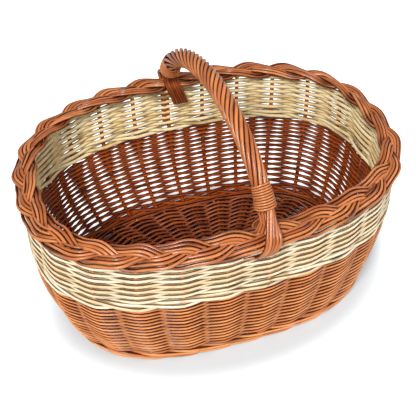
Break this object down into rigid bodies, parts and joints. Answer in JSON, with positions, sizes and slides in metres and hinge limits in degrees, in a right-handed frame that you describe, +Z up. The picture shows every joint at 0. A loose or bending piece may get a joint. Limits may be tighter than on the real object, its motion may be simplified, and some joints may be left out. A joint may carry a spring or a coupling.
{
  "type": "wicker shopping basket",
  "caption": "Oval willow shopping basket with a pale woven band, a plaited border and a fixed, rod-lapped bow handle arching across its width.",
  "frame": {"origin": "under the middle of the basket's bounding box, on the surface that it stands on", "axes": "+X along the basket's length, +Y from the front to the back across the width, which the handle spans, +Z up"},
  "size_m": [0.4458, 0.3272, 0.3228],
  "materials": {
    "brown_willow": "glossy unpeeled or buff-stained willow rods",
    "dark_willow": "darker red-brown willow rods and sticks",
    "peeled_willow": "pale peeled willow rods"
  },
  "bodies": {
    "root": {"foot_wale_rod_1": "brown_willow", "foot_wale_rod_2": "brown_willow", "foot_wale_rod_3": "brown_willow", "band_wale_rod_1": "peeled_willow", "band_wale_rod_2": "peeled_willow", "band_wale_rod_3": "peeled_willow", "lower_siding_rod": "brown_willow", "upper_siding_rod": "peeled_willow", "stake_01": "brown_willow", "stake_02": "brown_willow", "stake_03": "brown_willow", "stake_04": "brown_willow", "stake_05": "brown_willow", "stake_06": "brown_willow", "stake_07": "brown_willow", "stake_08": "brown_willow", "stake_09": "brown_willow", "stake_10": "brown_willow", "stake_11": "brown_willow", "stake_12": "brown_willow", "stake_13": "brown_willow", "stake_14": "brown_willow", "stake_15": "brown_willow", "stake_16": "brown_willow", "stake_17": "brown_willow", "stake_18": "brown_willow", "stake_19": "brown_willow", "stake_20": "brown_willow", "stake_21": "brown_willow", "stake_22": "brown_willow", "stake_23": "brown_willow", "stake_24": "brown_willow", "stake_25": "brown_willow", "border_strand_1": "brown_willow", "border_strand_2": "brown_willow", "border_strand_3": "brown_willow", "base_cross_stick_1": "dark_willow", "base_cross_stick_2": "dark_willow", "base_cross_stick_3": "dark_willow", "base_cross_stick_4": "dark_willow", "base_cross_stick_5": "dark_willow", "base_cross_stick_6": "dark_willow", "base_cross_stick_7": "dark_willow", "base_cross_stick_8": "dark_willow", "base_cross_stick_9": "dark_willow", "base_long_stick_1": "dark_willow", "base_long_stick_2": "dark_willow", "base_long_stick_3": "dark_willow", "base_rod_1": "dark_willow", "base_rod_2": "dark_willow", "handle_bow": "dark_willow", "handle_lapping": "brown_willow", "outer_tail_front": "brown_willow", "inner_tail_front": "dark_willow", "collar_front": "brown_willow", "outer_tail_back": "brown_willow", "inner_tail_back": "dark_willow", "collar_back": "brown_willow"}
  },
  "joints": []
}
